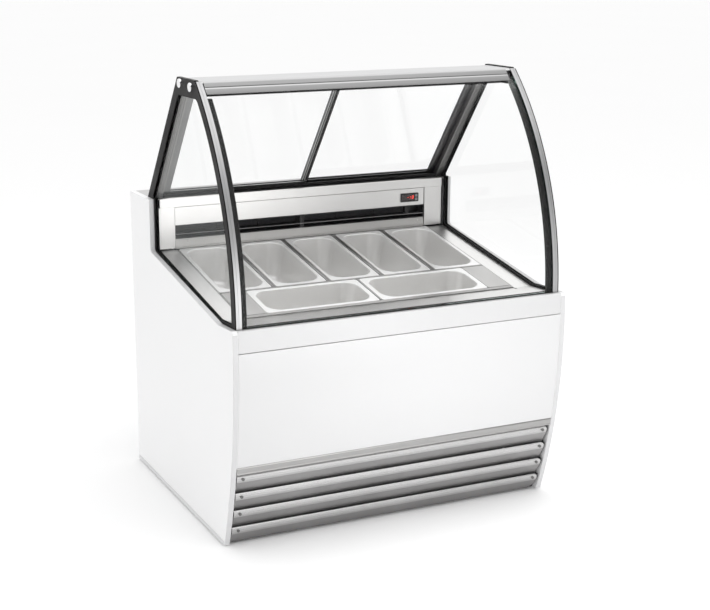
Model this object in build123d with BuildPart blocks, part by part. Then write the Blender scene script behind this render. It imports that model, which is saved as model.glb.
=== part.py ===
"""Scooping display freezer: cabinet, cold well with seven pans, curved glass canopy, sliding rear doors.

Frame: +X is the operator's left-to-right seen from the customer's side, the customer's side faces -Y,
+Z is up, the origin is on the floor under the middle of the cabinet.  Millimetres.
Profiles are written as (depth, height): depth is measured forward from the rear plane of the cabinet.
"""
from build123d import *
import math
import os

os.makedirs("parts", exist_ok=True)

# ---------------------------------------------------------------- driving dimensions
DEPTH = 880.0              # rear plane to the belly of the front
REAR = DEPTH / 2           # y of the rear plane
WIDTH = 1066.0             # over the side panels
HALF = WIDTH / 2
PANEL_T = 16.0             # side panel thickness
IN = HALF - PANEL_T        # inner face of the side panels
TOP_Z = 907.0              # rear worktop
CANOPY_Z = 1300.0          # top of the glass canopy
STEP_D = 189.0             # depth of the rear worktop step
FRONT_R, FRONT_CD, FRONT_CZ = 1700.0, -820.0, 560.0      # bowed front: radius, centre depth and height
ARCH_R, ARCH_CD, ARCH_CZ = 897.0, -35.0, 652.0           # front glass arch: radius, centre depth and height
PAN_L, PAN_W, PAN_H = 360.0, 165.0, 120.0                # five-litre display pan
PAN_PITCH = 179.0
DECK_SLOPE = 0.174                                       # fall of the pan deck towards the customer
DECK_D0, DECK_Z0 = 191.6, 745.2                          # rear edge of the pan rims
THETA = math.atan(DECK_SLOPE)
DOOR_N = (0.7914, 0.6113)                                # normal of the inclined rear doors (y, z)
GLASS_T = 6.0
HINGE_D, HINGE_Z = 582.0, 1287.0                         # hinge line of the front glass

DECK = Plane(origin=(0, REAR - DECK_D0, DECK_Z0), x_dir=(1, 0, 0),
             z_dir=(0, -math.sin(THETA), math.cos(THETA)))


# ---------------------------------------------------------------- shape helpers
def on_front(r, z):
    return (FRONT_CD + math.sqrt(r * r - (z - FRONT_CZ) ** 2), z)


def on_arch(r, z):
    return (ARCH_CD + math.sqrt(r * r - (z - ARCH_CZ) ** 2), z)


def sector(fn, r_out, r_in, z0, z1):
    """Closed outline between two concentric arcs, with level ends."""
    zm = (z0 + z1) / 2
    return [fn(r_out, z0), (fn(r_out, zm), fn(r_out, z1)), fn(r_in, z1), (fn(r_in, zm), fn(r_in, z0))]


def door_pt(c, s):
    """Point (depth, height) at offset c through and s up the inclined door plane."""
    y = c * DOOR_N[0] - s * DOOR_N[1]
    z = c * DOOR_N[1] + s * DOOR_N[0]
    return (-y, z)


def door_at_z(c, z):
    return ((z * DOOR_N[1] - c) / DOOR_N[0], z)


def deck_z(d, drop=0.0):
    return DECK_Z0 - DECK_SLOPE * (d - DECK_D0) - drop


def face_of(path, plane, r=0.0):
    """Planar face from a path of points; an entry (via, to) is an arc."""
    with BuildSketch(plane) as sk:
        with BuildLine():
            here = path[0]
            for step in path[1:] + [path[0]]:
                if isinstance(step[0], tuple):
                    ThreePointArc(here, step[0], step[1])
                    here = step[1]
                else:
                    if math.dist(here, step) > 1e-6:
                        Line(here, step)
                    here = step
        make_face()
        if r:
            fillet(sk.vertices(), r)
    return sk.sketch


def flip(path):
    out = []
    for p in path:
        if isinstance(p[0], tuple):
            out.append(tuple((REAR - q[0], q[1]) for q in p))
        else:
            out.append((REAR - p[0], p[1]))
    return out


def prism(path, x0, x1, mode=Mode.ADD, r=0.0):
    """Side profile (depth, height) extruded from x0 to x1."""
    f = face_of(flip(path), Plane.YZ.offset(x0), r)
    extrude(f, amount=x1 - x0, dir=(1, 0, 0), mode=mode)


def block(x0, x1, d0, d1, z0, z1, mode=Mode.ADD):
    prism([(d0, z0), (d1, z0), (d1, z1), (d0, z1)], x0, x1, mode)


def front_cut(path, d0, d1, mode=Mode.SUBTRACT, r=0.0):
    """Front view outline (x, height) extruded from depth d0 to d1."""
    f = face_of(path, Plane(origin=(0, REAR - d0, 0), x_dir=(1, 0, 0), z_dir=(0, -1, 0)), r)
    extrude(f, amount=d1 - d0, dir=(0, -1, 0), mode=mode)


def top_cut(path, z0, z1, mode=Mode.SUBTRACT, r=0.0):
    """Plan outline (x, depth) extruded from z0 to z1."""
    f = face_of([(p[0], REAR - p[1]) for p in path], Plane.XY.offset(z0), r)
    extrude(f, amount=z1 - z0, dir=(0, 0, 1), mode=mode)


def rod_x(d, z, r, x0, x1, mode=Mode.ADD):
    with BuildSketch(Plane(origin=(x0, REAR - d, z), x_dir=(0, 1, 0), z_dir=(1, 0, 0))) as sk:
        Circle(r)
    extrude(sk.sketch, amount=x1 - x0, mode=mode)


def rod_y(x, z, r, d0, d1, mode=Mode.ADD):
    with BuildSketch(Plane(origin=(x, REAR - d0, z), x_dir=(1, 0, 0), z_dir=(0, -1, 0))) as sk:
        Circle(r)
    extrude(sk.sketch, amount=d1 - d0, mode=mode)


def rod_z(x, d, r, z0, z1, mode=Mode.ADD):
    with BuildSketch(Plane.XY.offset(z0).shift_origin((x, REAR - d, z0))) as sk:
        Circle(r)
    extrude(sk.sketch, amount=z1 - z0, mode=mode)


def deck_block(x0, x1, v0, v1, n0, n1, mode=Mode.ADD):
    """Block in the tilted pan deck: v runs up the slope, n out of it."""
    with BuildSketch(DECK.offset(n0)) as sk:
        with BuildLine():
            Polyline((x0, v0), (x1, v0), (x1, v1), (x0, v1), close=True)
        make_face()
    extrude(sk.sketch, amount=n1 - n0, mode=mode)


def ribbon(pts, t):
    """Closed outline of a folded sheet of thickness t laid to the right of the path."""
    off = []
    n = len(pts)
    for i in range(n):
        dirs = []
        if i > 0:
            dirs.append((pts[i][0] - pts[i - 1][0], pts[i][1] - pts[i - 1][1]))
        if i < n - 1:
            dirs.append((pts[i + 1][0] - pts[i][0], pts[i + 1][1] - pts[i][1]))
        ns = []
        for a, b in dirs:
            q = math.hypot(a, b)
            ns.append((b / q, -a / q))
        mx, mz = sum(v[0] for v in ns) / len(ns), sum(v[1] for v in ns) / len(ns)
        k = mx * mx + mz * mz
        off.append((pts[i][0] + t * mx / k, pts[i][1] + t * mz / k))
    return pts + off[::-1]


def save(part, node, label):
    part.label = label
    export_step(part, "parts/%s.step" % node)


# ---------------------------------------------------------------- side panels
def panel_profile():
    return [(0, 4), (0, TOP_Z), (STEP_D - 3, TOP_Z), ((STEP_D - 0.9, TOP_Z - 0.9), (STEP_D, TOP_Z - 3)),
            (STEP_D, 757), ((STEP_D + 3.2, 748.2), (STEP_D + 11, 743.2)), (768, 650), (866, 655.5),
            ((874.5, 654), on_front(FRONT_R, 648)), (on_front(FRONT_R, 330), on_front(FRONT_R, 4))]


with BuildPart() as side_panel_left:
    prism(panel_profile(), -HALF, -IN)
    fillet(side_panel_left.faces().sort_by(Axis.X)[0].edges(), 1.2)
save(side_panel_left.part, "side_panel_left", "left side panel")

with BuildPart() as side_panel_right:
    prism(panel_profile(), IN, HALF)
    fillet(side_panel_right.faces().sort_by(Axis.X)[-1].edges(), 1.2)
save(side_panel_right.part, "side_panel_right", "right side panel")

# ---------------------------------------------------------------- base frame and feet
FOOT_X, FOOT_D = 460.0, (48.0, 672.0)
with BuildPart() as base_frame:
    block(-IN + 0.2, IN - 0.2, 20, 60, 30, 70)
    block(-IN + 0.2, IN - 0.2, 660, 700, 30, 70)
    block(-IN + 0.2, -IN + 40, 60, 660, 30, 70)
    block(IN - 40, IN - 0.2, 60, 660, 30, 70)
    block(-IN + 40, IN - 40, 60, 660, 66, 70)
    for sx in (-1, 1):
        for d0 in (20, 660):
            block(min(sx * (IN - 0.2), sx * (IN - 40)), max(sx * (IN - 0.2), sx * (IN - 40)), d0, d0 + 40, 70, 371.8)
    for sx in (-1, 1):
        for fd in FOOT_D:
            rod_z(sx * FOOT_X, fd, 6.05, 29, 56, Mode.SUBTRACT)
save(base_frame.part, "base_frame", "welded base frame with machine tray")

with BuildPart() as levelling_feet:
    for sx in (-1, 1):
        for fd in FOOT_D:
            rod_z(sx * FOOT_X, fd, 24, 0, 12)
            rod_z(sx * FOOT_X, fd, 6, 12, 55)
    fillet(levelling_feet.edges().filter_by(GeomType.CIRCLE).group_by(Axis.Z)[0], 2)
save(levelling_feet.part, "levelling_feet", "levelling feet")

# ---------------------------------------------------------------- rear service panel
with BuildPart() as rear_service_panel:
    block(-IN + 0.3, IN - 0.3, 1, 5, 20, 903)
    for k in range(9):
        for xc in (-300, 0, 300):
            z = 110 + 26 * k
            front_cut([(xc - 90, z), (xc + 90, z), (xc + 90, z + 10), (xc - 90, z + 10)], -5, 12, r=4.5)
save(rear_service_panel.part, "rear_service_panel", "rear service panel with vent slots")

# ---------------------------------------------------------------- front skin
with BuildPart() as front_fascia:
    prism(sector(on_front, FRONT_R, FRONT_R - 12, 593, 655.5), -IN + 0.5, IN - 0.5)
    fillet(front_fascia.edges().filter_by(Axis.X).sort_by(Axis.Y)[0:2], 1.2)
save(front_fascia.part, "front_fascia", "upper front fascia strip")

with BuildPart() as front_panel:
    prism(sector(on_front, FRONT_R, FRONT_R - 16, 257.5, 591.2), -IN + 0.5, IN - 0.5)
    fillet(front_panel.edges().filter_by(Axis.X).sort_by(Axis.Y)[0:2], 1.0)
save(front_panel.part, "front_panel", "large front panel")

with BuildPart() as trim_strip:
    p = [on_front(FRONT_R - 15.8, 256.3), on_front(FRONT_R - 0.4, 256.3), on_front(FRONT_R + 1.4, 253.6),
         on_front(FRONT_R + 1.4, 239), on_front(FRONT_R + 3.0, 237.5), on_front(FRONT_R + 3.0, 235),
         on_front(FRONT_R - 15.8, 235)]
    prism(ribbon(p[::-1], -1.4), -IN + 0.8, IN - 0.8)
save(trim_strip.part, "trim_strip", "stainless trim strip")

# ---------------------------------------------------------------- louvres
LOUVRE_TOP, LOUVRE_PITCH, LOUVRE_IN = 231.0, 57.0, 14.0


def louvre_path(i):
    zt = LOUVRE_TOP - LOUVRE_PITCH * i
    zc = zt - (58.5 if i < 3 else 54.5)
    f = lambda z, s: (on_front(FRONT_R, z)[0] - s, z)
    return [f(zt, 5.0), f(zt - 3, 1.6), f(zt - 8, 0.3), f(zt - 15, 0.0), f(zt - 21, 0.6), f(zt - 24, 1.8),
            f(zc, LOUVRE_IN)]


LOUVRE_X0, LOUVRE_X1 = -514.0, 508.0
SCREW_X = (-496.0, 492.0)


def louvre(i):
    pts = louvre_path(i)
    prism(ribbon(pts[::-1], -2.0), LOUVRE_X0, LOUVRE_X1)
    zt, zc = pts[0][1] + 2, pts[-1][1] - 4
    x0, x1 = LOUVRE_X0, LOUVRE_X1
    outline = [(x0, zc), (x1, zc), (x1, zt - 14), ((x1 - 3.5, zt - 5.5), (x1 - 12, zt - 2)), (x1 - 12, zt + 4), (x0, zt + 4)]
    if i == 3:
        outline[1:2] = [(x1 - 14, zc), (x1 - 14, zc + 4), (x1, zc + 18)]
    front_cut(outline, 700, 900, Mode.INTERSECT)
    for sx in SCREW_X:
        rod_y(sx, zt - 2 - 11, 2.3, 700, 900, Mode.SUBTRACT)


with BuildPart() as louvre_1:
    louvre(0)
save(louvre_1.part, "louvre_1", "top louvre slat")
with BuildPart() as louvre_2:
    louvre(1)
save(louvre_2.part, "louvre_2", "second louvre slat")
with BuildPart() as louvre_3:
    louvre(2)
save(louvre_3.part, "louvre_3", "third louvre slat")
with BuildPart() as louvre_4:
    louvre(3)
save(louvre_4.part, "louvre_4", "bottom louvre slat")


def carrier_outline():
    pts = []
    for i in range(4):
        q = ribbon(louvre_path(i)[::-1], -2.0)
        inner = q[len(q) // 2:]
        pts += [(p[0] - 1.0 - (1.5 if j == len(inner) - 1 else 0), p[1] - (2.2 if j == 0 else 0)) for j, p in enumerate(inner)]
    return pts


with BuildPart() as louvre_carrier:
    inner = [(on_front(FRONT_R - 16.3, 371.8)), (on_front(FRONT_R - 16.3, 234))] + carrier_outline()
    back = [(inner[-1][0], 5), (700.2, 5), (700.2, 371.8)]
    prism(inner + back, -513, -474)
    prism(inner + back, 474, 513)
    block(-474, 474, 722, 742, 8, 28)
    for i in range(4):
        for sx in SCREW_X:
            rod_y(sx, LOUVRE_TOP - LOUVRE_PITCH * i - 11, 2.05, 740, 900, Mode.SUBTRACT)
save(louvre_carrier.part, "louvre_carrier", "black louvre carrier frame")

with BuildPart() as louvre_screws:
    for i in range(4):
        z = LOUVRE_TOP - LOUVRE_PITCH * i - 11
        d = on_front(FRONT_R, z)[0]
        for sx in SCREW_X:
            rod_y(sx, z, 4.5, d + 1.0, d + 3.2)
            rod_y(sx, z, 2.0, d - 24, d + 1.0)
save(louvre_screws.part, "louvre_screws", "louvre screws")

# ---------------------------------------------------------------- insulated tank
LEDGE = [(735.0, deck_z(735, 2.5)), (848.0, 654.3), (864.0, 655.2)]
INS_Z0, INS_REAR_Z = 372.0, 902.0
CAV_X, CAV_D0, CAV_D1, CAV_Z0 = 452.0, 115.0, 785.0, 430.0


def under(d):
    """Underside of the deck sheet."""
    if d <= 735:
        return deck_z(d, 5.2)
    return LEDGE[0][1] - 2.7 + (d - 735) * (LEDGE[1][1] - LEDGE[0][1]) / 113.0


with BuildPart() as tub_insulation:
    r = FRONT_R - 16.4
    zt = 648.0
    prism([(60, INS_Z0), on_front(r, INS_Z0), (on_front(r, (INS_Z0 + zt) / 2), on_front(r, zt)),
           (800, zt), (735, under(735)), (190, under(190)), (115, under(190)),
           (115, INS_REAR_Z), (60, INS_REAR_Z)], -IN + 0.3, IN - 0.3)
    prism([(CAV_D0, CAV_Z0), (CAV_D1, CAV_Z0), (CAV_D1, 760), (CAV_D0, 760)], -CAV_X, CAV_X, Mode.SUBTRACT)
save(tub_insulation.part, "tub_insulation", "foamed tank body")

with BuildPart() as tub_liner:
    prism([(CAV_D0 + 0.2, CAV_Z0 + 0.2), (CAV_D1 - 0.2, CAV_Z0 + 0.2), (CAV_D1 - 0.2, 645.6), (735, under(735)),
           (190, under(190)), (CAV_D0 + 0.2, under(190))], -CAV_X + 0.2, CAV_X - 0.2)
    prism([(CAV_D0 + 2.2, CAV_Z0 + 2.2), (CAV_D1 - 2.2, CAV_Z0 + 2.2), (CAV_D1 - 2.2, 760), (CAV_D0 + 2.2, 760)],
          -CAV_X + 2.2, CAV_X - 2.2, Mode.SUBTRACT)
save(tub_liner.part, "tub_liner", "stainless tank liner")

# ---------------------------------------------------------------- deck sheet
OPEN_X, OPEN_V = 446.0, -551.6
with BuildPart() as deck_frame:
    top = [(190, deck_z(190, 2.5)), LEDGE[0], LEDGE[1], LEDGE[2]]
    prism(ribbon(top, 2.5), -IN + 0.4, IN - 0.4)
    block(-OPEN_X, OPEN_X, 180, 735.6, 500, 800, Mode.SUBTRACT)
    front_cut([(438, 640), (446, 640), (446, 680), (438, 680)], 742, 752)
    for k in range(11):
        x = -420 + 78 * k
        block(x, x + 60, 739, 742.5, 640, 680, Mode.SUBTRACT)
save(deck_frame.part, "deck_frame", "stainless deck border with front air-return ledge")

# ---------------------------------------------------------------- pan carrier
RAIL_X = (-268.5, -89.5, 89.5, 268.5)
with BuildPart() as pan_support:
    n0, n1 = -6.2, -2.7
    for x in RAIL_X:
        deck_block(x - 16, x + 16, -360, -2, n0, n1)
        deck_block(x - 6.2, x + 6.2, -359, -3, n1, 1.6)
        deck_block(x - 2.4, x + 2.4, -360, -2, 0.2, 2.0, Mode.SUBTRACT)
    for sx in (-1, 1):
        deck_block(min(sx * 431.5, sx * 445.2), max(sx * 431.5, sx * 445.2), -551, 2.2, n0, n1)
    deck_block(-445.2, 445.2, -13, 2.2, n0, n1)
    deck_block(-445.2, 445.2, -377.4, -347, n0, n1)
    deck_block(-442, 442, -367.2, -361.2, n1, 0.8)
    deck_block(-445.2, 445.2, -551, -524.6, n0, n1)
    deck_block(-442, 442, -549.5, -535, n1, -0.2)
    deck_block(-16, 16, -533, -368, n0, n1)
    deck_block(-2.8, 2.8, -533, -369.5, n1, 0.8)
    for sx in (-1, 1):
        deck_block(min(sx * 352, sx * 377), max(sx * 352, sx * 377), -533, -368, n0, n1)
save(pan_support.part, "pan_support", "pan carrier with raised dividers")

# ---------------------------------------------------------------- pans
with BuildPart() as pan_hollow:
    with BuildSketch(Plane.XY.offset(0.5)):
        RectangleRounded(PAN_W - 22, PAN_L - 30, 44)
    extrude(amount=-(PAN_H - 1.2 + 0.5), taper=3.0)
    fillet(pan_hollow.faces().sort_by(Axis.Z)[0].edges(), 16)

with BuildPart() as pan_shape:
    with BuildSketch(Plane.XY):
        RectangleRounded(PAN_W - 22 + 2.4, PAN_L - 30 + 2.4, 45.2)
    extrude(amount=-PAN_H, taper=3.0)
    fillet(pan_shape.faces().sort_by(Axis.Z)[0].edges(), 17)
    with BuildSketch(Plane.XY.offset(-2.5)):
        RectangleRounded(PAN_W, PAN_L, 9)
    extrude(amount=2.5)
    fillet(pan_shape.faces().sort_by(Axis.Z)[-1].outer_wire().edges(), 1.2)
    add(pan_hollow.part, mode=Mode.SUBTRACT)
    fillet(pan_shape.faces().sort_by(Axis.Z)[-1].inner_wires()[0].edges(), 2.0)


def pan_at(x, v, turned=False):
    loc = DECK.location * Location((x, v, 0)) * Location((0, 0, 0), (0, 0, 90 if turned else 0))
    add(pan_shape.part.moved(loc))


REAR_V = -PAN_L / 2
FRONT_V = -(PAN_L + 8.4 + PAN_W / 2)
with BuildPart() as pan_1:
    pan_at(-2 * PAN_PITCH, REAR_V)
save(pan_1.part, "pan_1", "rear pan 1")
with BuildPart() as pan_2:
    pan_at(-PAN_PITCH, REAR_V)
save(pan_2.part, "pan_2", "rear pan 2")
with BuildPart() as pan_3:
    pan_at(0, REAR_V)
save(pan_3.part, "pan_3", "rear pan 3")
with BuildPart() as pan_4:
    pan_at(PAN_PITCH, REAR_V)
save(pan_4.part, "pan_4", "rear pan 4")
with BuildPart() as pan_5:
    pan_at(2 * PAN_PITCH, REAR_V)
save(pan_5.part, "pan_5", "rear pan 5")
with BuildPart() as pan_6:
    pan_at(-184, FRONT_V, True)
save(pan_6.part, "pan_6", "front pan left")
with BuildPart() as pan_7:
    pan_at(184, FRONT_V, True)
save(pan_7.part, "pan_7", "front pan right")


def filler(x0, x1):
    with BuildSketch(DECK.offset(-2.5)) as sk:
        with BuildLine():
            Polyline((x0, FRONT_V - 82.5), (x1, FRONT_V - 82.5), (x1, FRONT_V + 82.5), (x0, FRONT_V + 82.5), close=True)
        make_face()
        fillet(sk.vertices(), 5)
    extrude(sk.sketch, amount=2.5)
    deck_block(x0 + 14, x1 - 14, FRONT_V - 68, FRONT_V + 68, -14, -2.5)
    deck_block(x0 + 16, x1 - 16, FRONT_V - 66, FRONT_V + 66, -14, -4.5, Mode.SUBTRACT)


with BuildPart() as filler_left:
    filler(-441, -365)
save(filler_left.part, "filler_left", "left filler plate")
with BuildPart() as filler_right:
    filler(365, 441)
save(filler_right.part, "filler_right", "right filler plate")

# ---------------------------------------------------------------- rear worktop and rear wall of the well
with BuildPart() as worktop:
    prism(ribbon([(6, 903), (6, TOP_Z), (STEP_D - 2, TOP_Z), (STEP_D, TOP_Z - 2), (STEP_D, 877.5), (STEP_D - 14, 877.5)], 2.0),
          -IN + 0.4, IN - 0.4)
    for sx in (-1, 1):
        block(min(sx * 497.5, sx * 520), max(sx * 497.5, sx * 520), STEP_D - 20, STEP_D + 5, 860, 904.5, Mode.SUBTRACT)
save(worktop.part, "worktop", "rear worktop with folded front band")

with BuildPart() as rear_fascia:
    prism(ribbon([(172, 875.8), (187, 875.8), (187, 820), (172, 820)], 2.5), -448.8, 430)
    block(343.8, 408.2, 180, 195, 832.8, 860.2, Mode.SUBTRACT)
save(rear_fascia.part, "rear_fascia", "rear fascia carrying the controller")

with BuildPart() as column_left:
    block(-503, -449.3, 150, 188.6, 748, 877)
    block(-501, -451.3, 152, 186.6, 740, 880, Mode.SUBTRACT)
    fillet(column_left.edges().filter_by(Axis.Z).sort_by(Axis.Y)[0:2], 1.5)
save(column_left.part, "column_left", "left rear column")
with BuildPart() as column_right:
    block(432.5, 497, 150, 188.6, 748, 877)
    block(434.5, 495, 152, 186.6, 740, 880, Mode.SUBTRACT)
    fillet(column_right.edges().filter_by(Axis.Z).sort_by(Axis.Y)[0:2], 1.5)
save(column_right.part, "column_right", "right rear column")

with BuildPart() as air_outlet:
    block(-448.8, 430, 152, 186.4, 776.6, 819)
    block(-446.8, -24, 140, 200, 779, 789.6, Mode.SUBTRACT)
    block(-446.8, -24, 140, 200, 792.2, 816.6, Mode.SUBTRACT)
    block(-10, 428, 140, 200, 779, 789.6, Mode.SUBTRACT)
    block(-10, 428, 140, 200, 792.2, 816.6, Mode.SUBTRACT)
    for x in (-300, -160, 120, 260):
        block(x, x + 1.6, 152.5, 158, 778, 818)
    block(361, 376, 172, 186.4, 795, 817)
save(air_outlet.part, "air_outlet", "cold air outlet grille")

with BuildPart() as air_ramp:
    prism(ribbon([(155, 775.9), (185.6, 775.9), (189.6, 754), (189.6, 746.4)], 1.5), -448.8, 430)
save(air_ramp.part, "air_ramp", "stainless lip below the air outlet")

# ---------------------------------------------------------------- controller
with BuildPart() as controller_bezel:
    block(343, 409, 187.2, 190.4, 832, 861)
    block(344.2, 407.8, 150, 187.2, 833.2, 859.8)
    fillet(controller_bezel.edges().filter_by(Axis.Y).group_by(Axis.Y)[0], 2.5)
    block(347, 391.5, 189.2, 195, 836, 857, Mode.SUBTRACT)
    block(395, 405, 188.6, 195, 848, 857, Mode.SUBTRACT)
    block(395, 405, 188.6, 195, 836, 845, Mode.SUBTRACT)
save(controller_bezel.part, "controller_bezel", "controller housing")
with BuildPart() as controller_display:
    block(347.2, 391.3, 189.2, 190.1, 836.2, 856.8)
save(controller_display.part, "controller_display", "controller display window")
with BuildPart() as controller_key_1:
    block(395.3, 404.7, 189.2, 191.2, 848.3, 856.7)
    fillet(controller_key_1.edges().filter_by(Axis.Y), 1.2)
save(controller_key_1.part, "controller_key_1", "upper controller key")
with BuildPart() as controller_key_2:
    block(395.3, 404.7, 189.2, 191.2, 836.3, 844.7)
    fillet(controller_key_2.edges().filter_by(Axis.Y), 1.2)
save(controller_key_2.part, "controller_key_2", "lower controller key")

# ---------------------------------------------------------------- side glasses
FR_X0, FR_X1 = 505.0, 517.0
BAND = 8.0                 # black channel above the deck
PANE_X0, PANE_X1 = 508.0, 514.0
C_OUT, C_IN = 450.0, 416.0
FR_R = ARCH_R - 4.2


def arc_seg(r, za, zb):
    return (on_arch(r, (za + zb) / 2), on_arch(r, zb))


def frame_outer():
    return [door_at_z(C_OUT, TOP_Z + 0.2), door_at_z(C_OUT, CANOPY_Z), (579, CANOPY_Z), on_arch(FR_R, 1297), arc_seg(FR_R, 1297, 655.6),
            (848, 654.7), (735, deck_z(735, 2.2)), (190, deck_z(190, 2.2)), (190, TOP_Z + 0.2)]


def frame_inner():
    r = ARCH_R - 30
    return [(207, deck_z(207, 2.5) + BAND), ((202.0, deck_z(202, 2.5) + BAND + 2.0), (199.5, deck_z(199.5, 2.5) + BAND + 8)), (199.5, 911),
            (door_at_z(C_IN, 911)[0] + 6, 911), door_at_z(C_IN, 918), door_at_z(C_IN, 1240),
            (door_at_z(C_IN, 1249)[0] + 6, 1249), (on_arch(r, 1249)[0] - 6, 1249), on_arch(r, 1243), arc_seg(r, 1243, 670),
            (on_arch(r, 662)[0] - 7, 662), (735, deck_z(735, 2.5) + BAND)]


def pane():
    r = ARCH_R - 20
    return [(194.5, 752), (194.5, 909), (door_at_z(433, 909.5)[0] + 4, 909.5), door_at_z(433, 925), door_at_z(433, 1264),
            on_arch(r, 1264), arc_seg(r, 1264, 659), (845, 658.6), (735, deck_z(735, 2.5) + 3.6), (199, deck_z(199, 2.5) + 3.6)]


def side_frame(x0, x1, p0, p1):
    prism(frame_outer(), x0, x1)
    lip = sorted((math.copysign(514.8, x0), math.copysign(517.8, x0)))
    prism(sector(on_arch, ARCH_R - 0.2, ARCH_R - 12, 656, 1296), lip[0], lip[1])
    prism(frame_inner(), x0, x1, Mode.SUBTRACT)
    prism(pane(), p0 - 0.1, p1 + 0.1, Mode.SUBTRACT)


CAPS = ((468.0, 1284.0), (557.0, 1280.0))
with BuildPart() as side_frame_left:
    side_frame(-FR_X1, -FR_X0, -PANE_X1, -PANE_X0)
    for cd, cz in CAPS:
        rod_x(cd, cz, 4.05, -520, -500, Mode.SUBTRACT)
save(side_frame_left.part, "side_frame_left", "black border and channel of the left side glass")
with BuildPart() as side_frame_right:
    side_frame(FR_X0, FR_X1, PANE_X0, PANE_X1)
    for cd, cz in CAPS:
        rod_x(cd, cz, 4.05, 500, 520, Mode.SUBTRACT)
save(side_frame_right.part, "side_frame_right", "black border and channel of the right side glass")

with BuildPart() as side_glass_left:
    prism(pane(), -PANE_X1, -PANE_X0)
save(side_glass_left.part, "side_glass_left", "left side glass")
with BuildPart() as side_glass_right:
    prism(pane(), PANE_X0, PANE_X1)
save(side_glass_right.part, "side_glass_right", "right side glass")

# ---------------------------------------------------------------- front arches and seal
ARCH_Z0, ARCH_Z1 = 656.0, 1297.0


def arch(sx):
    a = sorted((sx * 498.2, sx * 514.5))
    prism(sector(on_arch, ARCH_R, ARCH_R - 4, ARCH_Z0, ARCH_Z1), a[0], a[1])
    b = sorted((sx * 498.2, sx * 504.7))
    prism(sector(on_arch, ARCH_R - 3.5, ARCH_R - 30, 658, 1247), b[0], b[1])
    c = sorted((sx * 500.2, sx * 504.7))
    prism(sector(on_arch, ARCH_R - 8, ARCH_R - 26, 640, 1260), c[0], c[1], Mode.SUBTRACT)
    g = sorted((sx * 506.6, sx * 509.4))
    prism(sector(on_arch, ARCH_R + 1, ARCH_R - 1.0, 640, 1310), g[0], g[1], Mode.SUBTRACT)


with BuildPart() as arch_left:
    arch(-1)
save(arch_left.part, "arch_left", "left aluminium front arch")
with BuildPart() as arch_right:
    arch(1)
save(arch_right.part, "arch_right", "right aluminium front arch")

with BuildPart() as front_glass_seal:
    for sx in (-1, 1):
        a = sorted((sx * 481, sx * 497.8))
        prism(sector(on_arch, ARCH_R - 7.4, ARCH_R - 16, 656.4, 1252), a[0], a[1])
        for k in (484.5, 489, 493.5):
            b = sorted((sx * k, sx * (k + 2)))
            prism(sector(on_arch, ARCH_R - 6, ARCH_R - 8.6, 640, 1260), b[0], b[1], Mode.SUBTRACT)
    prism([(842, 655.0), (863.5, 656.3), (863.5, 658), (842, 658)], -497.8, 497.8)
save(front_glass_seal.part, "front_glass_seal", "rubber seal of the front glass")

# ---------------------------------------------------------------- top rail
RAIL_X1 = 504.7
with BuildPart() as top_rail:
    a = lambda ang, r: (HINGE_D + r * math.cos(math.radians(ang)), HINGE_Z + r * math.sin(math.radians(ang)))
    prism([(440, 1257), (584, 1257), (584, HINGE_Z - 9.7), a(-78, 10), (a(-78, 6.4)), (a(180, 6.4), a(28, 6.4)), a(28, 10),
           (a(60, 10), a(90, 10)), (450, 1297), (440, 1288)], -RAIL_X1, RAIL_X1)
    prism([door_pt(420, 1243), door_pt(452, 1243), door_pt(452, 1284), door_pt(420, 1290)], -481.6, 481.6)
    prism([(462, 1262), (560, 1262), (560, 1291), (462, 1291)], -500, 500, Mode.SUBTRACT)
    for c0, c1 in ((423.3, 434.6), (437.4, 448.6)):
        prism([door_pt(c0, 1230), door_pt(c1, 1230), door_pt(c1, 1263), door_pt(c0, 1263)], -481.6, 481.6, Mode.SUBTRACT)
    for cd, cz in CAPS:
        rod_x(cd, cz, 4.05, -520, -490, Mode.SUBTRACT)
        rod_x(cd, cz, 4.05, 490, 520, Mode.SUBTRACT)
    block(-520, -497.9, 581, 600, 1262, 1300, Mode.SUBTRACT)
    block(497.9, 520, 581, 600, 1262, 1300, Mode.SUBTRACT)
save(top_rail.part, "top_rail", "top rail with door head channel")

with BuildPart() as cap_screws:
    for cd, cz in CAPS:
        for sx in (-1, 1):
            a = sorted((sx * 517.0, sx * 525.5))
            rod_x(cd, cz, 13, a[0], a[1])
            b = sorted((sx * 497.0, sx * 517.0))
            rod_x(cd, cz, 4.0, b[0], b[1])
    fillet(cap_screws.edges().filter_by(lambda e: e.geom_type == GeomType.CIRCLE and e.radius > 12
                                        and abs(abs(e.center().X) - 525.5) < 0.1), 2.5)
save(cap_screws.part, "cap_screws", "bright fixing caps")

# ---------------------------------------------------------------- front glass and its hinge profile
with BuildPart() as glass_carrier:
    a = lambda ang, r: (HINGE_D + r * math.cos(math.radians(ang)), HINGE_Z + r * math.sin(math.radians(ang)))
    face = [(594.0, 1296.0), (597.0, 1292.6), (604.6, 1283.0), (603.4, 1282.0), (604.9, 1280.2), (606.0, 1281.0),
            (614.6, 1270.2), (616.2, 1270.6), (620.9, 1264.6), (620.0, 1263.2), (618.0, 1262.4), (618.9, 1258.0)]
    prism([(590.6, 1294.0)] + face + [(605.5, 1258.0), (590.6, 1275.0), a(-40, 10.7), (a(0, 10.7), a(36, 10.7))], -496, 479)
    prism(sector(on_arch, ARCH_R - 0.9, ARCH_R - 7.1, 1240, 1274), -520, 520, Mode.SUBTRACT)
    rod_x(HINGE_D, HINGE_Z, 6.0, -496, 479)
    u = (math.cos(math.radians(-42)), math.sin(math.radians(-42)))
    w = (-u[1], u[0])
    prism([(HINGE_D + u[0] * q + w[0] * h, HINGE_Z + u[1] * q + w[1] * h) for q, h in ((2, -1.6), (12.5, -1.6), (12.5, 1.6), (2, 1.6))],
          -496, 479)
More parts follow.
